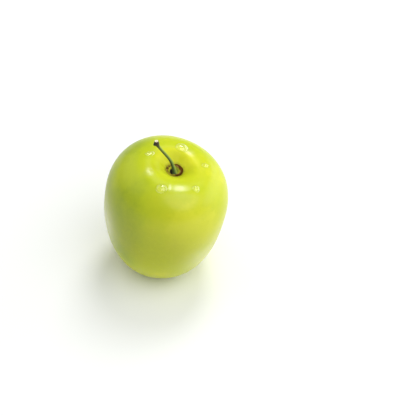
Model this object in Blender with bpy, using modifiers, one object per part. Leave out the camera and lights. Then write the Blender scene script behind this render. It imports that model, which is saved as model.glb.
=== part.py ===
"""A whole green jujube as picked, with its stalk, standing on the level foot round its blossom end.

Three pieces: the fruit, the cork ring left by the flower round the stalk, and the stalk itself,
which widens into a small plate inside that ring. Each is shaped in the fruit's own growth frame,
+Z towards the stalk with the origin at the middle of the body, and then leans with the fruit.
"""

import math

import bmesh
import bpy
from mathutils import Matrix, Vector
from mathutils.geometry import interpolate_bezier

MM = 0.001

# Fruit body
BODY_RADIUS = 22.5 * MM
BODY_LENGTH = 49.8 * MM
WIDEST_BELOW_CREST = 17.2 * MM
CREST_RADIUS = 9.8 * MM
SHOULDER_FULLNESS = (0.58, 0.61)
LOWER_FULLNESS = 0.605
BODY_SEGMENTS = 64
PROFILE_STEPS = (9, 13, 17, 7)

# Funnel at the stalk, and the pit in its floor that holds the ring and the stalk's plate
FUNNEL_DEPTH = 3.1 * MM
FUNNEL_WALL = (0.25, 0.19)
FUNNEL_CREST_FULLNESS = 0.55
PIT_RADIUS = 3.4 * MM
PIT_DEPTH = 1.15 * MM
LIP_ROUNDING = 0.25 * MM

# Blossom end: a rim to stand on, a dimple inside it, and the remnant of the style
BASE_RIM_RADIUS = 4.4 * MM
DIMPLE_DEPTH = 1.1 * MM
DIMPLE_FULLNESS = (0.42, 0.3)
STYLE_RADIUS = 0.9 * MM
STYLE_HEIGHT = 0.45 * MM
STYLE_STEPS = ((0.8, 0.6), (0.4, 1.0), (0.0, 1.0))

# Natural growth: how far the body departs from a turned shape
LEAN = math.radians(9.6)
TOP_AND_BASE_SHIFT = 0.7 * MM
FOOT_SHIFT = 1.0 * MM
FUNNEL_SHIFT = 0.4 * MM
CREST_SHIFT = 1.2 * MM
OUT_OF_ROUND = 0.036
OUT_OF_ROUND_TURN = math.radians(35)
SHOULDER_SWELLS = (
    (1, 0.36 * MM, math.radians(161)),
    (2, 0.18 * MM, math.radians(-60)),
    (3, 0.055 * MM, math.radians(-46)),
    (4, 0.03 * MM, math.radians(5)),
)
SHOULDER_WIDTH = 6.0 * MM
FOOT_FLAT = 0.15 * MM

# Fitted pieces keep this gap to each other and to the pit
GAP = 0.3 * MM

# Cork ring
RING_THICKNESS = 0.84 * MM
RING_RADIUS = PIT_RADIUS - GAP - RING_THICKNESS / 2
RING_SEGMENTS = 40
RING_SIDES = 10
RING_WAVE = 0.05 * MM

# Stalk: its route above the plate, the half thickness at each point, and the plate
STALK_ROUTE = [
    Vector(point) * MM
    for point in (
        (0.05, -1.08, -0.35),
        (0.0, -1.07, 0.1),
        (-0.3, -1.0, 1.1),
        (-0.85, -0.85, 2.55),
        (-1.65, -0.55, 4.15),
        (-2.75, -0.25, 5.6),
        (-4.35, 0.15, 7.15),
        (-6.45, 0.55, 9.1),
        (-7.55, 0.75, 10.3),
        (-8.2, 0.9, 11.2),
        (-8.4, 0.95, 12.1),
    )
]
STALK_RADII = [
    radius * MM
    for radius in (0.8, 0.8, 0.72, 0.63, 0.58, 0.55, 0.53, 0.5, 0.6, 0.93, 0.74)
]
STALK_END_ROUNDING = 0.2 * MM
STALK_SIDES_RESOLUTION = 4
PLATE_RADIUS = RING_RADIUS - RING_THICKNESS / 2 - GAP
PLATE_THICKNESS = 0.6 * MM
PLATE_SIDES = 32

MERGE_DISTANCE = 0.00001

SKIN_GREEN = (0.52, 0.64, 0.05)
CORK_BROWN = (0.20, 0.09, 0.04)
STALK_GREEN = (0.11, 0.18, 0.05)


def clear_scene():
    for obj in list(bpy.data.objects):
        bpy.data.objects.remove(obj, do_unlink=True)


def new_collection(name):
    collection = bpy.data.collections.new(name)
    bpy.context.scene.collection.children.link(collection)
    return collection


def new_material(name, colour, roughness):
    material = bpy.data.materials.new(name)
    material.use_nodes = True
    shader = material.node_tree.nodes["Principled BSDF"]
    shader.inputs["Base Color"].default_value = (*colour, 1.0)
    shader.inputs["Roughness"].default_value = roughness
    shader.inputs["Metallic"].default_value = 0.0
    return material


def new_object(name, data, collection, material=None):
    obj = bpy.data.objects.new(name, data)
    collection.objects.link(obj)
    if material is not None:
        obj.data.materials.clear()
        obj.data.materials.append(material)
    return obj


def evaluated_mesh(obj, name):
    """The object's mesh with its modifiers applied, in its own frame, with coincident points welded."""
    bpy.context.view_layer.update()
    graph = bpy.context.evaluated_depsgraph_get()
    mesh = bpy.data.meshes.new_from_object(obj.evaluated_get(graph))
    mesh.name = name
    bm = bmesh.new()
    bm.from_mesh(mesh)
    bmesh.ops.remove_doubles(bm, verts=bm.verts, dist=MERGE_DISTANCE)
    bm.to_mesh(mesh)
    bm.free()
    return mesh


def add_boolean(obj, operation, other):
    modifier = obj.modifiers.new(operation.title(), "BOOLEAN")
    modifier.operation = operation
    modifier.object = other
    return modifier


def curve_through(knots, counts):
    """Points of Bezier stretches; each knot is (point, handle before, handle after)."""
    points = []
    for (start, _, out), (end, into, _), count in zip(knots, knots[1:], counts):
        stretch = interpolate_bezier(start, out, into, end, count)
        points += stretch if not points else stretch[1:]
    return points


def flat_knot(radius, height, before, after):
    """A profile knot whose handles lie level, as at a crest or a floor."""
    point = Vector((radius, 0, height))
    return point, point - Vector((before, 0, 0)), point + Vector((after, 0, 0))


def body_profile():
    """The body's half section from the pit's centre over the shoulder to the blossom end."""
    top = BODY_LENGTH / 2
    lip_height = top - FUNNEL_DEPTH
    floor_height = lip_height - PIT_DEPTH
    pit = [
        Vector((0, 0, floor_height)),
        Vector((PIT_RADIUS * 0.5, 0, floor_height)),
        Vector((PIT_RADIUS, 0, floor_height)),
        Vector((PIT_RADIUS, 0, lip_height - LIP_ROUNDING)),
    ]

    lip = Vector((PIT_RADIUS + LIP_ROUNDING, 0, lip_height))
    funnel_width = CREST_RADIUS - PIT_RADIUS
    wall_out, wall_up = FUNNEL_WALL
    lip_knot = (lip, lip, lip + Vector((wall_out, 0, wall_up)) * funnel_width)
    crest = flat_knot(
        CREST_RADIUS,
        top,
        FUNNEL_CREST_FULLNESS * funnel_width,
        SHOULDER_FULLNESS[0] * (BODY_RADIUS - CREST_RADIUS),
    )

    widest = Vector((BODY_RADIUS, 0, top - WIDEST_BELOW_CREST))
    below = BODY_LENGTH - WIDEST_BELOW_CREST
    widest_knot = (
        widest,
        widest + Vector((0, 0, SHOULDER_FULLNESS[1] * WIDEST_BELOW_CREST)),
        widest - Vector((0, 0, LOWER_FULLNESS * below)),
    )

    base_rim = flat_knot(
        BASE_RIM_RADIUS,
        top - BODY_LENGTH,
        -LOWER_FULLNESS * (BODY_RADIUS - BASE_RIM_RADIUS),
        -DIMPLE_FULLNESS[0] * BASE_RIM_RADIUS,
    )
    dimple_height = base_rim[0].z + DIMPLE_DEPTH
    dimple = flat_knot(
        STYLE_RADIUS, dimple_height, -DIMPLE_FULLNESS[1] * BASE_RIM_RADIUS, 0
    )
    knots = [lip_knot, crest, widest_knot, base_rim, dimple]
    outside = curve_through(knots, PROFILE_STEPS)
    style = [
        Vector((STYLE_RADIUS * out, 0, dimple_height - STYLE_HEIGHT * down))
        for out, down in STYLE_STEPS
    ]
    return pit + outside + style


def grown(point):
    """Where a point of the turned body lies on the grown one."""
    half = BODY_LENGTH / 2
    radius = math.hypot(point.x, point.y)
    turn = math.atan2(point.y, point.x)
    out_of_round = OUT_OF_ROUND * min(radius / CREST_RADIUS, 1)
    swell = 1 - out_of_round * math.cos(2 * (turn - OUT_OF_ROUND_TURN))
    x, y, z = point.x * swell, point.y * swell, point.z

    if z > 0:
        out = (radius - PIT_RADIUS - LIP_ROUNDING) / (CREST_RADIUS - PIT_RADIUS)
        inward = 1 - min(max(out, 0), 1)
        inward = inward**2 * (3 - 2 * inward)
        on_shoulder = (1 - inward) * math.exp(-(((radius - CREST_RADIUS) / SHOULDER_WIDTH) ** 2))
        swells = sum(high * math.cos(count * (turn - at)) for count, high, at in SHOULDER_SWELLS)
        x += FUNNEL_SHIFT * inward
        y -= CREST_SHIFT * on_shoulder
        z += swells * on_shoulder

    lowness = min(max(-z / half, 0), 1)
    z += x * math.tan(LEAN) * lowness**3
    x += TOP_AND_BASE_SHIFT * (z / half) ** 2 + FOOT_SHIFT * lowness**4
    return Vector((x, y, z))


def growth_frame(points):
    """Leans the fruit, sinks its foot by the flat, and centres it over the origin."""
    lean = Matrix.Rotation(LEAN, 4, "Y")
    leaned = [lean @ point for point in points]
    low = Vector(min(p[i] for p in leaned) for i in range(3))
    high = Vector(max(p[i] for p in leaned) for i in range(3))
    centre = (low + high) / 2
    return Matrix.Translation((-centre.x, -centre.y, -low.z - FOOT_FLAT)) @ lean


def turned_mesh(name, profile, segments, helpers):
    """A closed profile's turned solid, from a Screw modifier."""
    line = bpy.data.meshes.new(name + "_profile")
    steps = [(i, i + 1) for i in range(len(profile) - 1)]
    line.from_pydata(profile, steps, [])
    guide = new_object(name + "_profile", line, helpers)
    screw = guide.modifiers.new("Screw", "SCREW")
    screw.axis = "Z"
    screw.angle = math.tau
    screw.steps = segments
    screw.render_steps = segments
    screw.use_merge_vertices = True
    screw.merge_threshold = MERGE_DISTANCE
    mesh = evaluated_mesh(guide, name)
    bpy.data.objects.remove(guide)
    return mesh


def shade_round(mesh, sharp_degrees=40):
    mesh.shade_smooth()
    mesh.set_sharp_from_angle(angle=math.radians(sharp_degrees))


def make_fruit(collection, helpers, material):
    """Returns the fruit, cut level where it stands, and its growth frame."""
    mesh = turned_mesh("fruit", body_profile(), BODY_SEGMENTS, helpers)
    for vertex in mesh.vertices:
        vertex.co = grown(vertex.co)
    frame = growth_frame([vertex.co for vertex in mesh.vertices])
    mesh.transform(frame)
    shade_round(mesh)
    fruit = new_object("fruit", mesh, collection, material)

    side = 4 * BODY_RADIUS
    bpy.ops.mesh.primitive_cube_add(size=side, location=(0, 0, -side / 2))
    cutter = bpy.context.active_object
    cutter.name = "foot_cutter"
    cutter.hide_render = True
    cutter.display_type = "WIRE"
    for owner in list(cutter.users_collection):
        owner.objects.unlink(cutter)
    helpers.objects.link(cutter)
    add_boolean(fruit, "DIFFERENCE", cutter)
    return fruit, frame


def pit_floor():
    """The centre of the pit's floor on the grown body."""
    return grown(Vector((0, 0, BODY_LENGTH / 2 - FUNNEL_DEPTH - PIT_DEPTH)))


def make_cork_ring(collection, growth_axis, material):
    """The brown cork ring, a slightly wavy torus clear of the pit's wall and floor."""
    bpy.ops.mesh.primitive_torus_add(
        major_radius=RING_RADIUS,
        minor_radius=RING_THICKNESS / 2,
        major_segments=RING_SEGMENTS,
        minor_segments=RING_SIDES,
    )
    ring = bpy.context.active_object
    ring.name = "cork_ring"
    for owner in list(ring.users_collection):
        owner.objects.unlink(ring)
    collection.objects.link(ring)
    for vertex in ring.data.vertices:
        turn = math.atan2(vertex.co.y, vertex.co.x)
        vertex.co.z += RING_WAVE * math.sin(3 * turn) + RING_WAVE * math.cos(7 * turn)
    shade_round(ring.data)
    ring.data.materials.append(material)
    ring.parent = growth_axis
    lift = GAP + RING_THICKNESS / 2 + 2 * RING_WAVE
    ring.location = pit_floor() + Vector((0, 0, lift))
    return ring


def make_stalk(collection, helpers, growth_axis, material):
    """The stalk with its knobbed end, joined to the plate that it grows from."""
    curve = bpy.data.curves.new("stalk_route", "CURVE")
    curve.dimensions = "3D"
    curve.resolution_u = 4
    curve.bevel_depth = 1.0
    curve.bevel_resolution = STALK_SIDES_RESOLUTION
    curve.use_fill_caps = True
    spline = curve.splines.new("BEZIER")
    end_step = (STALK_ROUTE[-1] - STALK_ROUTE[-2]).normalized() * STALK_END_ROUNDING
    route = [*STALK_ROUTE, STALK_ROUTE[-1] + end_step]
    radii = [*STALK_RADII, STALK_RADII[-1] - STALK_END_ROUNDING]
    spline.bezier_points.add(len(route) - 1)
    for knot, point, radius in zip(spline.bezier_points, route, radii):
        knot.co = point
        knot.radius = radius
        knot.handle_left_type = "AUTO"
        knot.handle_right_type = "AUTO"
    guide = new_object("stalk_route", curve, helpers)
    mesh = evaluated_mesh(guide, "stalk")
    bpy.data.objects.remove(guide)
    shade_round(mesh)
    stalk = new_object("stalk", mesh, collection, material)

    bpy.ops.mesh.primitive_cylinder_add(
        vertices=PLATE_SIDES,
        radius=PLATE_RADIUS,
        depth=PLATE_THICKNESS,
        location=(0, 0, -PLATE_THICKNESS / 2),
    )
    plate = bpy.context.active_object
    union = add_boolean(stalk, "UNION", plate)
    joined = evaluated_mesh(stalk, "stalk")
    stalk.modifiers.remove(union)
    stalk.data = joined
    bpy.data.objects.remove(plate)

    stalk.parent = growth_axis
    stalk.location = pit_floor() + Vector((0, 0, GAP + PLATE_THICKNESS))
    return stalk


def main():
    clear_scene()
    pieces = new_collection("jujube")
    helpers = new_collection("jujube_cutters")
    skin = new_material("jujube_skin", SKIN_GREEN, 0.3)
    cork = new_material("ring_cork", CORK_BROWN, 0.8)
    bark = new_material("stalk_bark", STALK_GREEN, 0.55)

    _, frame = make_fruit(pieces, helpers, skin)
    growth_axis = bpy.data.objects.new("growth_axis", None)
    growth_axis.matrix_world = frame
    pieces.objects.link(growth_axis)
    make_cork_ring(pieces, growth_axis, cork)
    make_stalk(pieces, helpers, growth_axis, bark)


main()
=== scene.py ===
"""Dresses the jujube: its waxy skin, the cork ring, the stalk and the drops of water on its shoulder.

Each piece is shaped in the fruit's growth frame, +Z towards the stalk with the origin at the middle
of the body, as the solids are, and is then leaned with the fruit. Lengths are in metres.
"""

import math

import bpy
from mathutils import Matrix, Vector, noise
from mathutils.bvhtree import BVHTree
from mathutils.geometry import interpolate_bezier


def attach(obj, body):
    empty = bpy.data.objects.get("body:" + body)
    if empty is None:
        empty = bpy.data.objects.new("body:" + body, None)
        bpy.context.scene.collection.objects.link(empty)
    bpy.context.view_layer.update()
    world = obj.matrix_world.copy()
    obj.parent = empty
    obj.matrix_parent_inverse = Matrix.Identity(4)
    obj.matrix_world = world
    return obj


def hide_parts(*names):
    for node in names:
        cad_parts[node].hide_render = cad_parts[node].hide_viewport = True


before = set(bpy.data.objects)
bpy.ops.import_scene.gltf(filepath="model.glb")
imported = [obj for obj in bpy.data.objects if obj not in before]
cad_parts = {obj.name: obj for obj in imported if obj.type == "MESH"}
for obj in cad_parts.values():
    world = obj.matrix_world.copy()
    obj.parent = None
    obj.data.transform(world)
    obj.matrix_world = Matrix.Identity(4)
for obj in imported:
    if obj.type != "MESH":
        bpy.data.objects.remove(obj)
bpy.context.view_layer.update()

MM = 0.001
BODY = "root"

# Fruit body, as in the solids
BODY_RADIUS = 22.5 * MM
BODY_LENGTH = 49.8 * MM
HALF_LENGTH = BODY_LENGTH / 2
WIDEST_BELOW_CREST = 17.2 * MM
CREST_RADIUS = 9.8 * MM
SHOULDER_FULLNESS = (0.58, 0.61)
LOWER_FULLNESS = 0.605
FUNNEL_DEPTH = 3.1 * MM
FUNNEL_WALL = (0.25, 0.19)
FUNNEL_CREST_FULLNESS = 0.55
PIT_RADIUS = 3.4 * MM
PIT_DEPTH = 1.15 * MM
LIP_ROUNDING = 0.25 * MM
LIP_RADIUS = PIT_RADIUS + LIP_ROUNDING
BASE_RIM_RADIUS = 4.4 * MM
DIMPLE_DEPTH = 1.1 * MM
DIMPLE_FULLNESS = (0.42, 0.3)
STYLE_RADIUS = 0.9 * MM
STYLE_HEIGHT = 0.45 * MM
LEAN = math.radians(9.6)
TOP_AND_BASE_SHIFT = 0.7 * MM
FOOT_SHIFT = 1.0 * MM
FUNNEL_SHIFT = 0.4 * MM
CREST_SHIFT = 1.2 * MM
OUT_OF_ROUND = 0.036
OUT_OF_ROUND_TURN = math.radians(35)
SHOULDER_SWELLS = (
    (1, 0.36 * MM, math.radians(161)),
    (2, 0.18 * MM, math.radians(-60)),
    (3, 0.055 * MM, math.radians(-46)),
    (4, 0.03 * MM, math.radians(5)),
)
SHOULDER_WIDTH = 6.0 * MM
FOOT_FLAT = 0.15 * MM
GAP = 0.3 * MM

# Skin mesh: points around, points along each stretch of the profile, and the socket's wall in mm
SKIN_SEGMENTS = 288
SKIN_STEPS = (30, 46, 62, 22)
SOCKET_WALL = ((0.0, 0.0), (1.5, 0.0), (2.6, 0.02), (2.82, 0.25), (2.92, 0.55), (3.04, 0.84), (3.26, 1.03))
STYLE_STEPS = 6
STYLE_TAPER = 0.9

# Low relief of the skin: height, fineness and noise start of its swells in mm, and the furrows round the ring
SWELLS = (
    (0.085, 1 / 11.0, (3.1, 0, 3.1)),
    (0.022, 1 / 4.2, (7.7, 0, 7.7)),
    (0.006, 1 / 1.7, (1.3, 0, 1.3)),
)
SWELLS_FADE = (PIT_RADIUS * 0.9, CREST_RADIUS)
FURROWS = 17
FURROW_DEPTH = 0.045 * MM
FURROW_WANDER = 2.2
FURROWS_INSIDE = (PIT_RADIUS * 0.85, LIP_RADIUS)
FURROWS_OUTSIDE = (LIP_RADIUS + 3.2 * MM, LIP_RADIUS)

# Dusky skin beside the ring, and the brown scar in the blossom dimple: where each ends, and how raggedly
DUSKY_RIM = (LIP_RADIUS + 0.55 * MM, LIP_RADIUS - 0.35 * MM)
DUSKY_RAGGEDNESS = 0.35 * MM
SCAR_HEIGHTS = (-HALF_LENGTH * 0.8, -HALF_LENGTH * 0.9)
SCAR_EDGE = (1.9 * MM, 0.7 * MM)
SCAR_RAGGEDNESS = 0.4 * MM

# Gloss of the open wax, of the shoulder's powdery bloom, and the distances between which the bloom sets in
OPEN_GLOSS = 0.34
BLOOM_GLOSS = 0.06
BLOOM_EDGE = (15.0 * MM, 12.0 * MM)
# Polished places on the open wax: centre and reach in mm, and how much glossier
POLISHED = (
    ((-20.5, -6.5, -3.0), 7.0, 0.66),
    ((14.5, -16.5, -5.5), 9.0, 0.44),
    ((20.0, -6.0, 5.0), 11.0, 0.14),
    ((7.0, -16.0, 16.0), 7.5, 0.22),
)
# Painted sheen: pale patches on the left and lower right flanks that stand in for soft pale reflections:
# centre and reach in mm, and how pale
PAINTED_SHEEN = (
    ((-20.5, -7.0, 3.5), 6.0, 0.16),
    ((-20.8, -6.5, -3.0), 6.5, 0.30),
    ((-19.3, -6.0, -10.5), 6.0, 0.14),
    ((15.5, -16.0, -5.5), 7.0, 0.36),
)
# Where the bloom is rubbed off: turn, distance, size around and outward
RUBBED = (
    (math.radians(-147), 10.7 * MM, 1.7 * MM, 2.2 * MM),
    (math.radians(-95), 12.7 * MM, 0.5 * MM, 1.9 * MM),
    (math.radians(-78.5), 12.9 * MM, 2.5 * MM, 2.3 * MM),
    (math.radians(50), 9.4 * MM, 1.8 * MM, 1.7 * MM),
)
RUBBED_SHARPNESS = 1.4

# Ripeness with painted shade and light: its share all over, what the greener left side takes from it, partly
# as painted shade, the painted light that the funnel's far wall adds, and the painted shade the shoulder
# behind it and the crest in front take
RIPE_ALL_OVER = 0.78
GREEN_SHADED_SIDE, FAR_WALL_PAINTED_LIGHT, FAR_SHOULDER_PAINTED_SHADE, NEAR_CREST_PAINTED_SHADE = -0.74, 0.27, -0.12, -0.1
# Where each of them sets in and is full, in mm, and how much the green side's painted shade eases high up and
# at its edge
GREEN_ACROSS, GREEN_UP = (-4.5, -14.0), (-20.0, -8.0)
EASES_UP, EASED_UP = (10.0, 21.0), 0.45
EASES_ACROSS, EASED_ACROSS = (-16.0, -21.5), 0.35
FUNNEL_UP, FUNNEL_OUT = (0.0, 5.0), (10.0, 7.0)
FAR_WALL_BACK = (-1.5, 3.5)
FAR_SHOULDER_BACK, FAR_SHOULDER_UP = (3.0, 9.0), (5.0, 15.0)
NEAR_CREST_FRONT, NEAR_CREST_OUT, NEAR_CREST_UP = (-6.0, -11.0), (17.0, 13.5), (12.0, 17.0)
# Painted shade in a soft olive band round the body: how it fades up, down and towards the right, in mm
BAND_SHADE_UP, BAND_SHADE_DOWN = (22.0, 2.0), (-17.0, -1.0)
BAND_SHADE_RIGHT, BAND_SHADE_FADED = (3.0, 18.0), 0.5

# Skin colours, from the green side darkened with painted shade to ripe yellow lit with painted light
RIPENING = (
    (0.0, (0.285, 0.39, 0.018)),
    (0.5, (0.48, 0.56, 0.016)),
    (0.78, (0.56, 0.60, 0.016)),
    (1.0, (0.70, 0.70, 0.034)),
)
BAND_SHADE_TINT = (0.36, 0.39, 0.014)
PAINTED_SHEEN_TINT = (0.72, 0.69, 0.36)
FLECK_TINT = (0.68, 0.72, 0.02)
SKIN_PORE_TINT = (0.76, 0.78, 0.18)
DUSKY_TINT = (0.27, 0.23, 0.018)
BLOSSOM_SCAR_TINT = (0.10, 0.045, 0.018)
PAINTED_LIGHT_UNDER_WATER = (0.82, 0.86, 0.10)
PAINTED_SHADE_UNDER_WATER = (0.40, 0.46, 0.01)

# Cork colours, from the ring's outer edge over its crest to the inner lip
CORK_ACROSS = (
    (0.0, (0.20, 0.14, 0.01)),
    (0.16, (0.045, 0.016, 0.002)),
    (0.5, (0.075, 0.026, 0.002)),
    (0.86, (0.115, 0.045, 0.005)),
    (0.96, (0.34, 0.20, 0.08)),
    (1.0, (0.26, 0.19, 0.05)),
)
WORN_CORK_TINT = (0.48, 0.38, 0.045)
CORK_PIT_TINT = (0.03, 0.014, 0.008)

# Stalk colours, from its foot to its knob, with the bluish green near the foot a painted sheen, and from the
# knob's rim to the pith of the cut end
STALK_ALONG = (
    (0.0, (0.085, 0.14, 0.055)),
    (0.12, (0.060, 0.115, 0.058)),
    (0.45, (0.046, 0.092, 0.034)),
    (0.82, (0.075, 0.105, 0.030)),
    (0.89, (0.045, 0.026, 0.017)),
    (1.0, (0.042, 0.018, 0.016)),
)
CUT_END = (
    (0.0, (0.055, 0.026, 0.016)),
    (0.35, (0.42, 0.27, 0.14)),
    (0.6, (0.82, 0.74, 0.55)),
    (1.0, (0.86, 0.80, 0.62)),
)
STALK_FIBRE_TINT = (0.15, 0.20, 0.08)
STALK_PORE_TINT = (0.34, 0.32, 0.16)
# Painted light on the stalk's lit flank, and painted shade and a painted grey sheen on its other flank
PAINTED_LIGHT_FLANK_TINT = (0.30, 0.40, 0.055)
PAINTED_SHADE_FLANK_TINT = (0.016, 0.024, 0.016)
PAINTED_SHEEN_FLANK_TINT = (0.12, 0.12, 0.12)

# Plate colours, from the stalk's foot outward
PLATE_OUTWARD = (
    (0.0, (0.12, 0.16, 0.015)),
    (0.35, (0.22, 0.25, 0.010)),
    (0.7, (0.34, 0.35, 0.012)),
    (1.0, (0.36, 0.28, 0.03)),
)
PLATE_PIT_TINT = (0.10, 0.06, 0.02)
SALLOW_TINT = (0.50, 0.50, 0.02)
# Painted shade, near black, in the crevice by the stalk's foot
CREVICE_SHADE_TINT = (0.012, 0.010, 0.008)

# Stalk and its plate, as in the solids
STALK_ROUTE = (
    (0.05, -1.08, -0.35),
    (0.0, -1.07, 0.1),
    (-0.3, -1.0, 1.1),
    (-0.85, -0.85, 2.55),
    (-1.65, -0.55, 4.15),
    (-2.75, -0.25, 5.6),
    (-4.35, 0.15, 7.15),
    (-6.45, 0.55, 9.1),
    (-7.55, 0.75, 10.3),
    (-8.2, 0.9, 11.2),
    (-8.4, 0.95, 12.1),
)
STALK_RADII = (0.8, 0.8, 0.72, 0.63, 0.58, 0.55, 0.53, 0.5, 0.6, 0.93, 0.74)
PLATE_THICKNESS = 0.6 * MM
STALK_RINGS = 150
STALK_SIDES = 48


def body_profile():
    """The body's half section from the socket round the stalk, over the shoulder, to the blossom end."""
    top = HALF_LENGTH
    lip_height = top - FUNNEL_DEPTH
    floor_height = lip_height - PIT_DEPTH
    socket = [Vector((out * MM, 0, floor_height + up * MM)) for out, up in SOCKET_WALL]

    lip = Vector((LIP_RADIUS, 0, lip_height))
    funnel_width = CREST_RADIUS - PIT_RADIUS
    wall_out, wall_up = FUNNEL_WALL
    lip_knot = (lip, lip, lip + Vector((wall_out, 0, wall_up)) * funnel_width)
    crest = flat_knot(
        CREST_RADIUS,
        top,
        FUNNEL_CREST_FULLNESS * funnel_width,
        SHOULDER_FULLNESS[0] * (BODY_RADIUS - CREST_RADIUS),
    )
    widest = Vector((BODY_RADIUS, 0, top - WIDEST_BELOW_CREST))
    below = BODY_LENGTH - WIDEST_BELOW_CREST
    widest_knot = (
        widest,
        widest + Vector((0, 0, SHOULDER_FULLNESS[1] * WIDEST_BELOW_CREST)),
        widest - Vector((0, 0, LOWER_FULLNESS * below)),
    )
    base_rim = flat_knot(
        BASE_RIM_RADIUS,
        top - BODY_LENGTH,
        -LOWER_FULLNESS * (BODY_RADIUS - BASE_RIM_RADIUS),
        -DIMPLE_FULLNESS[0] * BASE_RIM_RADIUS,
    )
    dimple_height = base_rim[0].z + DIMPLE_DEPTH
    dimple = flat_knot(STYLE_RADIUS, dimple_height, -DIMPLE_FULLNESS[1] * BASE_RIM_RADIUS, 0)
    outside = curve_through([lip_knot, crest, widest_knot, base_rim, dimple], SKIN_STEPS)
    nub_turns = [math.pi / 2 * i / STYLE_STEPS for i in range(1, STYLE_STEPS + 1)]
    style = [
        Vector((STYLE_RADIUS * math.cos(a) * STYLE_TAPER, 0, dimple_height - STYLE_HEIGHT * math.sin(a)))
        for a in nub_turns
    ]
    return socket + outside + style


def curve_through(knots, counts):
    """Points of Bezier stretches; each knot is (point, handle before, handle after)."""
    points = []
    for (start, _, out), (end, into, _), count in zip(knots, knots[1:], counts):
        stretch = interpolate_bezier(start, out, into, end, count)
        points += stretch if not points else stretch[1:]
    return points


def flat_knot(radius, height, before, after):
    """A profile knot whose handles lie level, as at a crest or a floor."""
    point = Vector((radius, 0, height))
    return point, point - Vector((before, 0, 0)), point + Vector((after, 0, 0))


def grown(point):
    """Where a point of the turned body lies on the grown one."""
    radius = math.hypot(point.x, point.y)
    turn = math.atan2(point.y, point.x)
    out_of_round = OUT_OF_ROUND * min(radius / CREST_RADIUS, 1)
    swell = 1 - out_of_round * math.cos(2 * (turn - OUT_OF_ROUND_TURN))
    x, y, z = point.x * swell, point.y * swell, point.z
    if z > 0:
        out = (radius - LIP_RADIUS) / (CREST_RADIUS - PIT_RADIUS)
        inward = 1 - smooth_step(0, 1, out)
        on_shoulder = (1 - inward) * math.exp(-(((radius - CREST_RADIUS) / SHOULDER_WIDTH) ** 2))
        swells = sum(high * math.cos(count * (turn - at)) for count, high, at in SHOULDER_SWELLS)
        x += FUNNEL_SHIFT * inward
        y -= CREST_SHIFT * on_shoulder
        z += swells * on_shoulder
    lowness = min(max(-z / HALF_LENGTH, 0), 1)
    z += x * math.tan(LEAN) * lowness**3
    x += TOP_AND_BASE_SHIFT * (z / HALF_LENGTH) ** 2 + FOOT_SHIFT * lowness**4
    return Vector((x, y, z))


def growth_frame(points):
    """Leans the fruit, sinks its foot by the flat, and centres it over the origin."""
    lean = Matrix.Rotation(LEAN, 4, "Y")
    leaned = [lean @ point for point in points]
    low = Vector(min(p[i] for p in leaned) for i in range(3))
    high = Vector(max(p[i] for p in leaned) for i in range(3))
    centre = (low + high) / 2
    return Matrix.Translation((-centre.x, -centre.y, -low.z - FOOT_FLAT)) @ lean


def pit_floor():
    """The centre of the pit's floor on the grown body."""
    return grown(Vector((0, 0, HALF_LENGTH - FUNNEL_DEPTH - PIT_DEPTH)))


def smooth_step(low, high, value):
    """0 up to low and 1 from high on, easing between them; low may be the greater."""
    t = min(max((value - low) / (high - low), 0.0), 1.0)
    return t * t * (3 - 2 * t)


def unevenness(place, layers):
    """The sum of layers of noise, each (height, fineness, where its noise starts), at a place in mm."""
    return sum(high * noise.noise(place * fineness + Vector(start)) for high, fineness, start in layers)


# Meshes

ON_AXIS = 1e-7


def ring_mesh(name, rings, closed_loop=False):
    """A mesh over rings of points, with a single point at either end drawn to a fan."""
    points, faces, starts = [], [], []
    for ring in rings:
        starts.append(len(points))
        points += ring
    pairs = list(zip(range(len(rings)), range(1, len(rings))))
    if closed_loop:
        pairs.append((len(rings) - 1, 0))
    for first, second in pairs:
        a, b = starts[first], starts[second]
        sides = max(len(rings[first]), len(rings[second]))
        for i in range(sides):
            j = (i + 1) % sides
            if len(rings[first]) == 1:
                faces.append((a, b + i, b + j))
            elif len(rings[second]) == 1:
                faces.append((a + i, b, a + j))
            else:
                faces.append((a + i, b + i, b + j, a + j))
    mesh = bpy.data.meshes.new(name)
    mesh.from_pydata(points, [], faces)
    mesh.validate()
    mesh.shade_smooth()
    return mesh


def around(out, up, segments):
    """A level ring of points, or one point on the axis."""
    if out < ON_AXIS:
        return [Vector((0, 0, up))]
    turns = [math.tau * i / segments for i in range(segments)]
    return [Vector((out * math.cos(a), out * math.sin(a), up)) for a in turns]


def keep_values(mesh, name, values):
    """Stores one number, or one vector, for each point of the mesh."""
    kind = "FLOAT_VECTOR" if isinstance(values[0], Vector) else "FLOAT"
    stored = mesh.attributes.new(name, kind, "POINT")
    if kind == "FLOAT":
        stored.data.foreach_set("value", values)
    else:
        stored.data.foreach_set("vector", [part for value in values for part in value])


def keep_place(mesh):
    """Stores where each point lies in the growth frame, in mm, for the materials to read."""
    keep_values(mesh, "growth_place", [vertex.co / MM for vertex in mesh.vertices])


def add_piece(name, mesh, material, nodes=()):
    piece = bpy.data.objects.new(name, mesh)
    bpy.context.scene.collection.objects.link(piece)
    mesh.materials.append(material)
    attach(piece, BODY)
    if nodes:
        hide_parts(*nodes)
    return piece


# Node helpers

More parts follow.
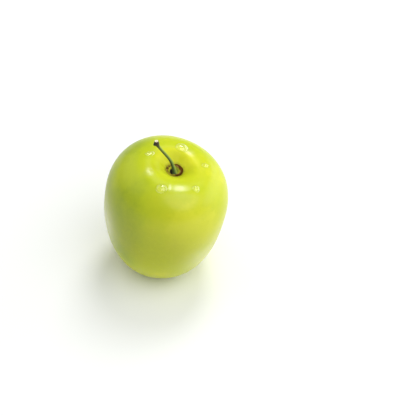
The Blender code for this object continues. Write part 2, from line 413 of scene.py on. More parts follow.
class Nodes:
    """A node tree with short ways to add and join nodes."""

    def __init__(self, tree):
        self.tree = tree

    def add(self, kind, links=None, **settings):
        node = self.tree.nodes.new(kind)
        for key, value in settings.items():
            setattr(node, key, value)
        for socket, source in (links or {}).items():
            self.feed(node.inputs[socket], source)
        return node

    def feed(self, socket, source):
        if isinstance(source, bpy.types.NodeSocket):
            self.tree.links.new(source, socket)
        elif isinstance(source, tuple) and len(source) == 3 and socket.type == "RGBA":
            socket.default_value = (*source, 1.0)
        else:
            socket.default_value = source

    def math(self, operation, first, second=0.0, clamp=False):
        node = self.add("ShaderNodeMath", {0: first, 1: second}, operation=operation, use_clamp=clamp)
        return node.outputs[0]

    def times(self, first, second, clamp=False):
        return self.math("MULTIPLY", first, second, clamp)

    def span(self, value, low, high, to_low=0.0, to_high=1.0):
        links = {"Value": value, "From Min": low, "From Max": high, "To Min": to_low, "To Max": to_high}
        node = self.add("ShaderNodeMapRange", links, interpolation_type="SMOOTHSTEP")
        return node.outputs["Result"]

    def mix(self, share, first, second):
        node = self.add("ShaderNodeMix", data_type="RGBA")
        for socket, source in zip((0, 6, 7), (share, first, second)):
            self.feed(node.inputs[socket], source)
        return node.outputs[2]

    def noise(self, place, scale, detail=2.0, roughness=0.5):
        links = {"Vector": place, "Scale": scale, "Detail": detail, "Roughness": roughness}
        return self.add("ShaderNodeTexNoise", links).outputs["Fac"]

    def bump(self, height, strength, distance):
        links = {"Height": height, "Strength": strength, "Distance": distance}
        return self.add("ShaderNodeBump", links).outputs["Normal"]

    def attribute(self, name, output="Fac"):
        return self.add("ShaderNodeAttribute", attribute_name=name).outputs[output]

    def ramp(self, value, stops):
        node = self.add("ShaderNodeValToRGB", {"Fac": value})
        elements = node.color_ramp.elements
        elements[0].position, elements[0].color = stops[0][0], (*stops[0][1], 1)
        elements[1].position, elements[1].color = stops[-1][0], (*stops[-1][1], 1)
        for position, colour in stops[1:-1]:
            elements.new(position).color = (*colour, 1)
        return node.outputs["Color"]


def new_group(name, inputs, outputs):
    """A node group with its sockets; returns the tree, its nodes' maker and its two ends."""
    tree = bpy.data.node_groups.new(name, "ShaderNodeTree")
    for socket, kind, value in inputs:
        made = tree.interface.new_socket(socket, in_out="INPUT", socket_type=kind)
        if value is not None:
            made.default_value = value
    for socket, kind in outputs:
        tree.interface.new_socket(socket, in_out="OUTPUT", socket_type=kind)
    nodes = Nodes(tree)
    return tree, nodes, nodes.add("NodeGroupInput").outputs, nodes.add("NodeGroupOutput").inputs


def mottle_group():
    """Blotches in two sizes, as ripening leaves them on skin, bark and cork."""
    inputs = (
        ("Place", "NodeSocketVector", None),
        ("Blotch Size", "NodeSocketFloat", 10.0),
        ("Fleck Size", "NodeSocketFloat", 1.0),
        ("Fleck Share", "NodeSocketFloat", 0.3),
    )
    tree, nodes, given, put = new_group("growth mottle", inputs, (("Mottle", "NodeSocketFloat"),))
    blotch = nodes.noise(given["Place"], nodes.math("DIVIDE", 1.0, given["Blotch Size"]), 3.0, 0.45)
    fleck = nodes.noise(given["Place"], nodes.math("DIVIDE", 1.0, given["Fleck Size"]), 4.0, 0.6)
    kept = nodes.math("SUBTRACT", 1.0, given["Fleck Share"])
    blotches = nodes.times(blotch, kept)
    flecks = nodes.times(fleck, given["Fleck Share"])
    nodes.feed(put["Mottle"], nodes.span(nodes.math("ADD", blotches, flecks), 0.32, 0.68))
    return tree


def dots_group():
    """Small soft dots scattered over a surface: breathing pores of the skin, pits of the cork."""
    inputs = (
        ("Place", "NodeSocketVector", None),
        ("Spacing", "NodeSocketFloat", 1.5),
        ("Size", "NodeSocketFloat", 0.2),
    )
    tree, nodes, given, put = new_group("scattered dots", inputs, (("Dots", "NodeSocketFloat"),))
    scale = nodes.math("DIVIDE", 1.0, given["Spacing"])
    links = {"Vector": given["Place"], "Scale": scale, "Randomness": 0.9}
    cell = nodes.add("ShaderNodeTexVoronoi", links, feature="F1")
    away = nodes.times(cell.outputs["Distance"], given["Spacing"])
    shade = nodes.add("ShaderNodeSeparateColor", {"Color": cell.outputs["Color"]}).outputs["Red"]
    reach = nodes.times(given["Size"], nodes.span(shade, 0.0, 1.0, 0.35, 1.25))
    dot = nodes.math("SUBTRACT", 1.0, nodes.math("DIVIDE", away, reach), clamp=True)
    nodes.feed(put["Dots"], nodes.span(dot, 0.0, 0.7))
    return tree


def fibre_group():
    """Fine streaks along a direction that the place is squeezed in."""
    inputs = (
        ("Place", "NodeSocketVector", None),
        ("Squeeze", "NodeSocketVector", (1.0, 1.0, 1.0)),
        ("Fineness", "NodeSocketFloat", 3.0),
    )
    tree, nodes, given, put = new_group("fine fibre", inputs, (("Fibre", "NodeSocketFloat"),))
    links = {0: given["Place"], 1: given["Squeeze"]}
    squeezed = nodes.add("ShaderNodeVectorMath", links, operation="MULTIPLY").outputs["Vector"]
    streaks = nodes.noise(squeezed, given["Fineness"], 3.0, 0.55)
    nodes.feed(put["Fibre"], nodes.span(streaks, 0.3, 0.7))
    return tree


def use(nodes, group, output, **links):
    """Places a node group with its values and gives one of its outputs; _ in a name stands for a space."""
    node = nodes.add("ShaderNodeGroup", node_tree=group)
    for name, source in links.items():
        nodes.feed(node.inputs[name.replace("_", " ")], source)
    return node.outputs[output]


def new_material(name):
    """A material, its nodes' maker and the inputs of its shader."""
    material = bpy.data.materials.new(name)
    material.use_nodes = True
    nodes = Nodes(material.node_tree)
    return material, nodes, material.node_tree.nodes["Principled BSDF"].inputs


def skin_material(mottle, dots, fibre):
    """Thin waxy skin, yellow-green and mottled, with pale pores, over flesh that lets light in; its colour
    carries painted shade, painted light and a painted sheen.
    """
    material, nodes, shader = new_material("waxy jujube skin")
    place = nodes.attribute("growth_place", "Vector")
    ripeness = use(nodes, mottle, "Mottle", Place=place, Blotch_Size=17.0, Fleck_Size=2.4, Fleck_Share=0.22)
    ripe_share = nodes.span(ripeness, 0.0, 1.0, -0.14, 0.14)
    # Ripeness with painted shade on the left and painted light in the funnel picks the skin's colour
    ripe = nodes.math("ADD", nodes.attribute("ripeness_and_shade"), ripe_share, clamp=True)
    colour = nodes.ramp(ripe, RIPENING)
    # Painted shade in an olive band round the body, weaker towards the right
    band_shade = nodes.times(nodes.attribute("painted_band_shade"), nodes.span(ripeness, 0.0, 1.0, 0.55, 0.75))
    colour = nodes.mix(band_shade, colour, BAND_SHADE_TINT)
    # Painted sheen: pale patches standing in for soft reflections on the flanks
    colour = nodes.mix(nodes.attribute("painted_sheen_share"), colour, PAINTED_SHEEN_TINT)
    fine = use(nodes, mottle, "Mottle", Place=place, Blotch_Size=1.4, Fleck_Size=0.35, Fleck_Share=0.4)
    colour = nodes.mix(nodes.times(fine, 0.10), colour, FLECK_TINT)
    pores = use(nodes, dots, "Dots", Place=place, Spacing=1.9, Size=0.2)
    colour = nodes.mix(nodes.times(pores, 0.28), colour, SKIN_PORE_TINT)

    rays = use(nodes, fibre, "Fibre", Place=place, Squeeze=(1.0, 1.0, 0.15), Fineness=2.2)
    by_ring = nodes.attribute("by_ring")
    dusk = nodes.times(by_ring, nodes.span(rays, 0.0, 1.0, 0.25, 0.8), clamp=True)
    colour = nodes.mix(dusk, colour, DUSKY_TINT)
    scar = nodes.attribute("blossom_scar")
    brown = nodes.times(scar, nodes.span(rays, 0.0, 1.0, 0.7, 1.0))
    colour = nodes.mix(brown, colour, BLOSSOM_SCAR_TINT)
    # Painted light and painted shade in the skin under the water drops
    painted_focus = nodes.attribute("painted_light_under_water")
    colour = nodes.mix(nodes.times(painted_focus, 0.32, clamp=True), colour, PAINTED_LIGHT_UNDER_WATER)
    colour = nodes.mix(nodes.times(painted_focus, -0.8, clamp=True), colour, PAINTED_SHADE_UNDER_WATER)
    nodes.feed(shader["Base Color"], colour)

    scar_dullness = nodes.times(scar, 0.35)
    dull = nodes.math("ADD", nodes.span(fine, 0.0, 1.0, 0.30, 0.40), scar_dullness, clamp=True)
    nodes.feed(shader["Roughness"], dull)
    unscarred = nodes.math("SUBTRACT", 1.0, scar, clamp=True)
    wax = nodes.times(nodes.attribute("wax_gloss"), unscarred, clamp=True)
    nodes.feed(shader["Coat Weight"], wax)
    shader["Coat Roughness"].default_value = 0.25
    shader["Specular IOR Level"].default_value = 0.05
    shader["Coat IOR"].default_value = 1.7
    shader["Subsurface Weight"].default_value = 0.4
    shader["Subsurface Radius"].default_value = (1.0, 0.9, 0.2)
    shader["Subsurface Scale"].default_value = 3.2 * MM
    height = nodes.math("ADD", nodes.times(fine, 0.5), nodes.times(pores, -0.6))
    nodes.feed(shader["Normal"], nodes.bump(height, 0.16, 0.05 * MM))
    return material


def cork_material(mottle, dots, fibre):
    """Dry cork: dark brown over the crest, tan on the inner lip, and pale where it is worn thin."""
    material, nodes, shader = new_material("dry scar cork")
    place = nodes.attribute("growth_place", "Vector")
    across = nodes.attribute("across_ring")
    patch = use(nodes, mottle, "Mottle", Place=place, Blotch_Size=1.3, Fleck_Size=0.3, Fleck_Share=0.5)
    shifted = nodes.math("ADD", across, nodes.span(patch, 0.0, 1.0, -0.16, 0.16), clamp=True)
    colour = nodes.ramp(shifted, CORK_ACROSS)
    thin = nodes.math("SUBTRACT", 1.0, nodes.attribute("cork_thickness"))
    worn = nodes.times(thin, nodes.span(patch, 0.0, 0.8, 0.45, 0.95), clamp=True)
    colour = nodes.mix(worn, colour, WORN_CORK_TINT)
    pits = use(nodes, dots, "Dots", Place=place, Spacing=0.34, Size=0.12)
    colour = nodes.mix(nodes.times(pits, 0.6), colour, CORK_PIT_TINT)
    nodes.feed(shader["Base Color"], colour)
    nodes.feed(shader["Roughness"], nodes.span(patch, 0.0, 1.0, 0.62, 0.88))
    shader["Specular IOR Level"].default_value = 0.06
    threads = use(nodes, fibre, "Fibre", Place=place, Squeeze=(1.0, 1.0, 2.5), Fineness=3.5)
    height = nodes.math("SUBTRACT", threads, pits)
    nodes.feed(shader["Normal"], nodes.bump(height, 0.5, 0.06 * MM))
    return material


def stalk_material(mottle, dots, fibre):
    """Green stalk with fine fibres, browning to a dark knob with a pale cut end, with painted light on one
    flank and painted shade and a painted grey sheen on the other.
    """
    material, nodes, shader = new_material("green stalk bark")
    place = nodes.attribute("stalk_place", "Vector")
    along = nodes.attribute("along_stalk")
    patch = use(nodes, mottle, "Mottle", Place=place, Blotch_Size=2.2, Fleck_Size=0.5, Fleck_Share=0.4)
    shifted = nodes.math("ADD", along, nodes.span(patch, 0.0, 1.0, -0.035, 0.035), clamp=True)
    colour = nodes.ramp(shifted, STALK_ALONG)
    streaks = use(nodes, fibre, "Fibre", Place=place, Squeeze=(1.0, 1.0, 0.12), Fineness=2.6)
    colour = nodes.mix(nodes.times(streaks, 0.22), colour, STALK_FIBRE_TINT)
    pores = use(nodes, dots, "Dots", Place=place, Spacing=0.7, Size=0.13)
    colour = nodes.mix(nodes.times(pores, 0.5), colour, STALK_PORE_TINT)
    # Painted light on the flank towards +X, painted shade and a painted grey sheen on the other
    flank = nodes.attribute("lit_flank")
    green_part = nodes.span(along, 0.90, 0.80)
    pale = nodes.times(nodes.span(flank, 0.55, 0.98, 0.0, 0.85), green_part)
    colour = nodes.mix(pale, colour, PAINTED_LIGHT_FLANK_TINT)
    streaky_flank = nodes.math("ADD", flank, nodes.times(streaks, 0.12))
    flank_shade = nodes.span(streaky_flank, 0.50, 0.10, 0.0, 0.85)
    colour = nodes.mix(flank_shade, colour, PAINTED_SHADE_FLANK_TINT)
    grey_sheen = nodes.times(flank_shade, nodes.span(patch, 0.6, 0.9, 0.0, 0.7))
    colour = nodes.mix(grey_sheen, colour, PAINTED_SHEEN_FLANK_TINT)
    cut = nodes.attribute("cut_end")
    colour = nodes.mix(nodes.span(cut, 0.02, 0.2), colour, nodes.ramp(cut, CUT_END))
    nodes.feed(shader["Base Color"], colour)
    nodes.feed(shader["Roughness"], nodes.span(patch, 0.0, 1.0, 0.42, 0.6))
    shader["Specular IOR Level"].default_value = 0.25
    height = nodes.math("ADD", streaks, nodes.times(pores, 0.7))
    nodes.feed(shader["Normal"], nodes.bump(height, 0.35, 0.05 * MM))
    return material


def plate_material(mottle, dots, fibre):
    """The plate the stalk grows from: olive green, wrinkled, tan towards its edge, with painted shade in the
    crevice by the stalk's foot.
    """
    material, nodes, shader = new_material("olive stalk plate")
    place = nodes.attribute("growth_place", "Vector")
    out = nodes.attribute("out_from_stalk")
    patch = use(nodes, mottle, "Mottle", Place=place, Blotch_Size=1.1, Fleck_Size=0.3, Fleck_Share=0.45)
    shifted = nodes.math("ADD", out, nodes.span(patch, 0.0, 1.0, -0.12, 0.12), clamp=True)
    colour = nodes.ramp(shifted, PLATE_OUTWARD)
    pits = use(nodes, dots, "Dots", Place=place, Spacing=0.5, Size=0.12)
    colour = nodes.mix(nodes.times(pits, 0.4), colour, PLATE_PIT_TINT)
    colour = nodes.mix(nodes.attribute("sallow_side"), colour, SALLOW_TINT)
    # Painted shade in the crevice by the stalk's foot
    colour = nodes.mix(nodes.attribute("crevice_shade"), colour, CREVICE_SHADE_TINT)
    nodes.feed(shader["Base Color"], colour)
    nodes.feed(shader["Roughness"], nodes.span(patch, 0.0, 1.0, 0.55, 0.8))
    shader["Specular IOR Level"].default_value = 0.06
    wrinkles = use(nodes, fibre, "Fibre", Place=place, Squeeze=(1.0, 1.0, 0.3), Fineness=2.4)
    nodes.feed(shader["Normal"], nodes.bump(wrinkles, 0.4, 0.06 * MM))
    return material


def water_material(mottle):
    """Clear water, which lets the lights through to the skin below it."""
    material, nodes, shader = new_material("clear water")
    place = nodes.attribute("growth_place", "Vector")
    ripple = use(nodes, mottle, "Mottle", Place=place, Blotch_Size=2.5, Fleck_Size=1.2, Fleck_Share=0.3)
    shader["Base Color"].default_value = (1.0, 1.0, 1.0, 1.0)
    nodes.feed(shader["Roughness"], nodes.span(ripple, 0.0, 1.0, 0.03, 0.07))
    shader["IOR"].default_value = 1.333
    shader["Transmission Weight"].default_value = 1.0
    shader["Coat Weight"].default_value = 1.0
    shader["Coat IOR"].default_value = 1.65
    shader["Coat Roughness"].default_value = 0.08
    nodes.feed(shader["Normal"], nodes.bump(ripple, 0.04, 0.1 * MM))
    passing = nodes.add("ShaderNodeBsdfTransparent").outputs["BSDF"]
    path = nodes.add("ShaderNodeLightPath").outputs
    unseen = nodes.math("MAXIMUM", path["Is Shadow Ray"], path["Is Diffuse Ray"])
    links = {0: unseen, 1: material.node_tree.nodes["Principled BSDF"].outputs["BSDF"], 2: passing}
    joined = nodes.add("ShaderNodeMixShader", links).outputs["Shader"]
    nodes.feed(material.node_tree.nodes["Material Output"].inputs["Surface"], joined)
    return material


# Pieces

def near_spots(place, spots):
    """The summed strength of round spots, each (centre in mm, reach in mm, strength), at a place in mm."""
    return sum(most * math.exp(-(((place - Vector(at)).length / reach) ** 2)) for at, reach, most in spots)


def wax_gloss(place):
    """How glossy the wax is at a place in the growth frame, in metres."""
    gloss = OPEN_GLOSS + near_spots(place / MM, POLISHED)
    if place.z < 0:
        return gloss
    out, turn = math.hypot(place.x, place.y), math.atan2(place.y, place.x)
    gloss += (BLOOM_GLOSS - gloss) * smooth_step(*BLOOM_EDGE, out)
    for at, patch_out, around_it, outward in RUBBED:
        aside = math.remainder(turn - at, math.tau) * patch_out / around_it
        away = aside**2 + ((out - patch_out) / outward) ** 2
        gloss += (1 - gloss) * math.exp(-(away**RUBBED_SHARPNESS))
    return gloss


def relief(point, out, turn):
    """How far the skin stands out at a point, which lies out from the pit's centre and at a turn round it."""
    lift = unevenness(point / MM, SWELLS) * MM
    if point.z <= 0:
        return lift
    near = smooth_step(*FURROWS_OUTSIDE, out) * smooth_step(*FURROWS_INSIDE, out)
    crease = math.cos(FURROWS * turn + FURROW_WANDER * noise.noise(Vector((turn * 1.3, 0.4, 5.1))))
    depth = FURROW_DEPTH * near * (0.5 + noise.noise(Vector((turn * 2, 3.0, 1.0))))
    return lift * smooth_step(*SWELLS_FADE, out) + depth * crease


def dusky_share(point, out, turn):
    """How dusky the skin is beside the cork ring, with a ragged edge."""
    if point.z <= 0:
        return 0.0
    ragged = noise.noise(Vector((math.cos(turn) * 2.1, math.sin(turn) * 2.1, 4.0)))
    return smooth_step(*DUSKY_RIM, out + DUSKY_RAGGEDNESS * ragged)


def ripeness_and_painted_shade(place, out):
    """How ripe and yellow the skin is at a place in mm, with painted shade on its left, far shoulder and near
    crest and painted light on the funnel's far wall, out being its distance from the pit's centre.
    """
    green = smooth_step(*GREEN_ACROSS, place.x) * smooth_step(*GREEN_UP, place.z)
    green *= 1 - EASED_UP * smooth_step(*EASES_UP, place.z)
    green *= 1 - EASED_ACROSS * smooth_step(*EASES_ACROSS, place.x)
    in_funnel = smooth_step(*FUNNEL_UP, place.z) * smooth_step(*FUNNEL_OUT, out)
    far_wall = in_funnel * smooth_step(*FAR_WALL_BACK, place.y)
    far_shoulder = (1 - in_funnel) * smooth_step(*FAR_SHOULDER_BACK, place.y)
    far_shoulder *= smooth_step(*FAR_SHOULDER_UP, place.z)
    near_crest = smooth_step(*NEAR_CREST_FRONT, place.y) * smooth_step(*NEAR_CREST_OUT, out)
    near_crest *= smooth_step(*NEAR_CREST_UP, place.z)
    changes = GREEN_SHADED_SIDE * green + FAR_WALL_PAINTED_LIGHT * far_wall + FAR_SHOULDER_PAINTED_SHADE * far_shoulder
    return RIPE_ALL_OVER + changes + NEAR_CREST_PAINTED_SHADE * near_crest


def band_shade_share(place):
    """How much olive painted shade lies at a place in mm, in a soft band round the body."""
    band_shade = smooth_step(*BAND_SHADE_UP, place.z) * smooth_step(*BAND_SHADE_DOWN, place.z)
    return band_shade * (1 - BAND_SHADE_FADED * smooth_step(*BAND_SHADE_RIGHT, place.x))


def scar_share(point, place, dimple):
    """How brown the scar in the blossom dimple is at a point of the relief, with an edge ragged by place."""
    out = math.hypot(point.x - dimple.x, point.y - dimple.y)
    ragged = SCAR_RAGGEDNESS * noise.noise(place)
    return smooth_step(*SCAR_HEIGHTS, point.z) * smooth_step(*SCAR_EDGE, out + ragged)


def make_skin(material):
    """The whole skin, with low swells and with furrows that run out from the cork ring."""
    profile = body_profile()
    rings = [[grown(p) for p in around(knot.x, knot.z, SKIN_SEGMENTS)] for knot in profile]
    mesh = ring_mesh("fruit_skin", rings)
    pit = pit_floor()
    dimple = grown(Vector((0, 0, -HALF_LENGTH + DIMPLE_DEPTH)))
    names = ("by_ring", "blossom_scar", "ripeness_and_shade", "painted_band_shade", "painted_sheen_share", "wax_gloss")
    values = {name: [] for name in names}
    for vertex, normal in zip(mesh.vertices, [n.vector.copy() for n in mesh.vertex_normals]):
        point = vertex.co.copy()
        place = point / MM
        out = math.hypot(point.x - pit.x, point.y - pit.y)
        turn = math.atan2(point.y - pit.y, point.x - pit.x)
        vertex.co += normal * relief(point, out, turn)
        values["by_ring"].append(dusky_share(point, out, turn))
        values["blossom_scar"].append(scar_share(vertex.co, place, dimple))
        # Ripeness with painted shade and painted light
        values["ripeness_and_shade"].append(ripeness_and_painted_shade(place, out / MM))
        values["painted_band_shade"].append(band_shade_share(place))
        values["painted_sheen_share"].append(near_spots(place, PAINTED_SHEEN))
        values["wax_gloss"].append(wax_gloss(vertex.co))
    keep_place(mesh)
    for name in names:
        keep_values(mesh, name, values[name])
    turned = growth_frame([point for ring in rings for point in ring])
    mesh.transform(turned)
    for vertex in mesh.vertices:
        vertex.co.z = max(vertex.co.z, 0.0)
    return add_piece("fruit_skin", mesh, material, ["fruit"]), turned


# Cork ring: distance from the pit's centre, height and share of the way inward, in mm
RING_SECTION = (
    (3.14, 0.98, 0.0),
    (3.12, 1.10, 0.08),
    (3.04, 1.22, 0.2),
    (2.92, 1.29, 0.35),
    (2.78, 1.30, 0.5),
    (2.66, 1.26, 0.65),
    (2.56, 1.20, 0.78),
    (2.46, 1.11, 0.9),
    (2.36, 0.98, 1.0),
    (2.28, 0.70, 1.0),
    (2.34, 0.40, 1.0),
    (2.60, 0.34, 0.5),
    (2.92, 0.50, 0.0),
    (3.06, 0.80, 0.0),
)
RING_SEGMENTS = 240
# Thin on one side and thick on the other, with a crumb on the thin side and a stouter place on the thick one
THIN_TO_THICK = (-0.5, 0.3)
CRUMB_TURN, CRUMB_SPREAD = math.radians(173), math.radians(11)
STOUT_TURN, STOUTNESS, STOUT_ALL_ROUND = math.radians(30), 0.24, 0.2
STOUT_INSIDE = (2.8, 2.4)
WORN_INSIDE, WORN_BY = (2.9, 2.4), 0.3
THICK_RISE, THIN_SINK = 0.16, 0.1
# Raggedness of the part that shows, from these heights up, as layers of noise
RING_SHOWS = (0.45, 1.0)
RING_NOISE_RADIUS = 1.5
RING_WANDER = ((0.10, 1.6, (9, 2, 4)), (0.05, 5.0, (0, 0, 0)))
RING_RISE = ((0.13, 2.3, (1, 7, 3)), (0.06, 6.5, (0, 0, 0)))


def cork_thickness(turn):
    """1 where the cork stands thick, 0 where it is worn thin, with one crumb left on the thin side."""
    crumb = math.remainder(turn - CRUMB_TURN, math.tau) / CRUMB_SPREAD
    return max(smooth_step(*THIN_TO_THICK, math.cos(turn)), math.exp(-(crumb**2)))


def make_cork_ring(material, turned):
    """The ragged cork ring, thick towards +X and worn thin towards -X, with a paler inner lip."""
    rings, across, thickness = [], [], []
    for out, up, share in RING_SECTION:
        ring = []
        showing = smooth_step(*RING_SHOWS, up)
        for i in range(RING_SEGMENTS):
            turn = math.tau * i / RING_SEGMENTS
            side = Vector((math.cos(turn), math.sin(turn), 0))
            place = side * RING_NOISE_RADIUS + Vector((0, 0, up))
            thick = cork_thickness(turn)
            stout = STOUT_ALL_ROUND * thick + STOUTNESS * max(math.cos(turn - STOUT_TURN), 0) ** 2
            worn = WORN_BY * (1 - thick) * smooth_step(*WORN_INSIDE, out)
            radius = out + showing * unevenness(place, RING_WANDER) + worn
            radius -= stout * smooth_step(*STOUT_INSIDE, out)
            height = up + showing * (unevenness(place, RING_RISE) + THICK_RISE * thick - THIN_SINK)
            ring.append((side * radius + Vector((0, 0, height))) * MM)
            across.append(share)
            thickness.append(thick)
        rings.append(ring)
    mesh = ring_mesh("cork_ring_scar", rings, closed_loop=True)
    mesh.flip_normals()
    keep_place(mesh)
    keep_values(mesh, "across_ring", across)
    keep_values(mesh, "cork_thickness", thickness)
    mesh.transform(turned @ Matrix.Translation(pit_floor()))
    return add_piece("cork_ring_scar", mesh, material, ["cork_ring"])


# Plate inside the ring: distance from its centre and height over its top, in mm
PLATE_SECTION = (
    (0.0, 0.02),
    (0.5, 0.01),
    (1.0, -0.02),
    (1.35, -0.06),
    (1.7, -0.07),
    (1.95, -0.02),
    (2.15, 0.0),
    (2.28, -0.08),
    (2.34, -0.26),
    (2.2, -0.6),
    (0.0, -0.62),
)
PLATE_SEGMENTS = 144
WRINKLES, WRINKLE_WANDER, WRINKLE_HEIGHT = 9, 3, 0.035
PLATE_LUMPS = ((0.10, 1.4, (3, 8, 1)),)
WRINKLED_OUT, WRINKLED_UP = (0.7, 1.3), (-0.5, -0.2)
TAN_OUTWARD = (0.9, 2.6)
SALLOW_SIDE = (-1.2, -1.9)
# Painted shade in the crevice beside the stalk's foot: its centre and reach in mm, and its edge and
# raggedness
CREVICE_AT, CREVICE_REACH = Vector((-1.1, -0.75)), (0.85, 1.7)
CREVICE_EDGE, CREVICE_RAGGEDNESS = (1.0, 0.6), 0.25


def plate_top():
    """Moves a mesh to the middle of the plate's top, where the stalk has its own origin."""
    return Matrix.Translation(pit_floor() + Vector((0, 0, GAP + PLATE_THICKNESS)))


def make_plate(material, turned):
    """The wrinkled green plate inside the ring, rising to the stalk's foot."""
    rings, out_share, crevice_shade, sallow = [], [], [], []
    for out, up in PLATE_SECTION:
        ring = around(out * MM, up * MM, PLATE_SEGMENTS)
        for point in ring:
            turn = math.atan2(point.y, point.x)
            wrinkle = math.cos(WRINKLES * turn + WRINKLE_WANDER * noise.noise(Vector((turn, out, 2.0))))
            wrinkled = smooth_step(*WRINKLED_OUT, out) * smooth_step(*WRINKLED_UP, up)
            lump = unevenness(point / MM, PLATE_LUMPS)
            point.z += MM * wrinkled * (WRINKLE_HEIGHT * wrinkle + lump)
            out_share.append(smooth_step(*TAN_OUTWARD, out))
            # Painted shade in the crevice beside the stalk's foot
            aside = point.xy / MM - CREVICE_AT
            aside = math.hypot(aside.x / CREVICE_REACH[0], aside.y / CREVICE_REACH[1])
            ragged = CREVICE_RAGGEDNESS * noise.noise(point / MM * 1.7)
            crevice_shade.append(smooth_step(*CREVICE_EDGE, aside + ragged))
            sallow.append(smooth_step(*SALLOW_SIDE, point.x / MM))
        rings.append(ring)
    mesh = ring_mesh("stalk_plate", rings)
    keep_place(mesh)
    keep_values(mesh, "out_from_stalk", out_share)
    keep_values(mesh, "crevice_shade", crevice_shade)
    keep_values(mesh, "sallow_side", sallow)
    mesh.transform(turned @ plate_top())
    return add_piece("stalk_plate", mesh, material, ["stalk"])


ROUTE_STEPS = 600


def route_point(knots, share):
    """A smooth curve's point at a share of its way through evenly numbered knots."""
    at = share * (len(knots) - 1)
    i = min(int(at), len(knots) - 2)
    t = at - i
    before = knots[i - 1] if i else knots[0] * 2 - knots[1]
    after = knots[i + 2] if i + 2 < len(knots) else knots[-1] * 2 - knots[-2]
    a, b = knots[i], knots[i + 1]
    rise_a, rise_b = (b - before) / 2, (after - a) / 2
    start = a * (2 * t**3 - 3 * t**2 + 1) + rise_a * (t**3 - 2 * t**2 + t)
    return start + b * (3 * t**2 - 2 * t**3) + rise_b * (t**3 - t**2)


def stalk_stations(count):
    """Evenly spaced (point, radius) pairs along the stalk, and its length, in mm."""
    knots = [Vector((*point, radius)) for point, radius in zip(STALK_ROUTE, STALK_RADII)]
    fine = [route_point(knots, i / ROUTE_STEPS) for i in range(ROUTE_STEPS + 1)]
    lengths = [0.0]
    for a, b in zip(fine, fine[1:]):
        lengths.append(lengths[-1] + (b.xyz - a.xyz).length)
    stations, i = [], 0
    for k in range(count + 1):
        while i < ROUTE_STEPS - 1 and lengths[i + 1] < lengths[-1] * k / count:
            i += 1
        station = fine[i + 1] if k else fine[0]
        stations.append((station.xyz, station.w))
    return stations, lengths[-1]


# Narrowing, rise and paleness of each ring of the cut end
END_SECTION = (
    (0.985, 0.08, 0.0),
    (0.94, 0.17, 0.05),
    (0.86, 0.22, 0.35),
    (0.76, 0.25, 0.7),
    (0.60, 0.25, 0.95),
    (0.42, 0.22, 1.0),
    (0.26, 0.17, 0.75),
    (0.15, 0.08, 0.35),
    (0.0, 0.05, 0.2),
)
# The knob's share of the way, the scar of a bud on it, and the flare at the stalk's foot
KNOB = (0.84, 0.93)
BUD_SHARE, BUD_SPREAD, BUD_HEIGHT, BUD_TURN = 0.925, 0.022, 0.34, math.radians(180)
FOOT_FLARE, FOOT_SHARE, FOOT_LOBES, FOOT_LOBED = 0.26, 0.05, 3, 0.4
# Flutes along the stalk, their twist, and its lumps, with the knob's rougher ones
FLUTES, FLUTE_DEPTH, FLUTE_TWIST, FLUTE_ON_KNOB = 5, 0.05, 2.4, 0.5
STALK_LUMP, LUMP_ALONG = 0.07, 14
KNOB_LUMP, KNOB_LUMP_ALONG = 0.2, 34


def make_stem(material, turned):
    """The stalk's bent stem: fluted, flared where it leaves the plate, knobbed and cut at its end."""
    stations, length = stalk_stations(STALK_RINGS)
    # The first point closes the foot
    rings, places = [[stations[0][0] * MM]], [stations[0][0]]
    along, cut, flank = [0.0], [0.0], [0.5]
    away = Vector((0, 1, 0))
    for k, (centre, radius) in enumerate(stations):
        share = k / STALK_RINGS
        ahead = (stations[min(k + 2, STALK_RINGS)][0] - stations[max(k - 2, 0)][0]).normalized()
        side = away.cross(ahead).normalized()
        other = ahead.cross(side).normalized()
        knob = smooth_step(*KNOB, share)
        flare = FOOT_FLARE * math.exp(-share / FOOT_SHARE)
        at_bud = math.exp(-(((share - BUD_SHARE) / BUD_SPREAD) ** 2))
        ring, on_way = [], []
        for i in range(STALK_SIDES):
            turn = math.tau * i / STALK_SIDES
            around_it = Vector((math.cos(turn), math.sin(turn), 0))
            flute = FLUTE_DEPTH * math.cos(FLUTES * turn + FLUTE_TWIST * share) * (1 - FLUTE_ON_KNOB * knob)
            lump = STALK_LUMP * noise.noise(around_it * 1.3 + Vector((0, 0, share * LUMP_ALONG)))
            knob_place = around_it * 2.2 + Vector((0, 0, share * KNOB_LUMP_ALONG + 5))
            rough = knob * KNOB_LUMP * noise.noise(knob_place)
            bud = BUD_HEIGHT * at_bud * max(math.cos(turn - BUD_TURN), 0) ** 5
            foot = flare * (1 + FOOT_LOBED * math.cos(FOOT_LOBES * turn + 1))
            reach = radius * (1 + flute + lump + rough) + bud + foot
            way = side * math.cos(turn) + other * math.sin(turn)
            ring.append((centre + way * reach) * MM)
            on_way.append((way, reach))
            places.append(around_it * radius + Vector((0, 0, share * length)))
            along.append(share)
            cut.append(0.0)
            # Which way each point faces, for the stalk's painted light and shade
            flank.append(0.5 + 0.5 * math.cos(turn))
        rings.append(ring)
    for narrow, rise, pale in END_SECTION:
        end_ring = [(centre + way * reach * narrow + ahead * rise) * MM for way, reach in on_way]
        if narrow == 0.0:
            end_ring = [(centre + ahead * rise) * MM]
        for point in end_ring:
            places.append(point / MM)
            along.append(1.0)
            cut.append(pale)
            flank.append(0.5)
        rings.append(end_ring)
    mesh = ring_mesh("stalk_stem", rings)
    mesh.flip_normals()
    keep_values(mesh, "stalk_place", places)
    keep_values(mesh, "along_stalk", along)
    keep_values(mesh, "cut_end", cut)
    keep_values(mesh, "lit_flank", flank)
    mesh.transform(turned @ plate_top())
    return add_piece("stalk_stem", mesh, material, ["stalk"])


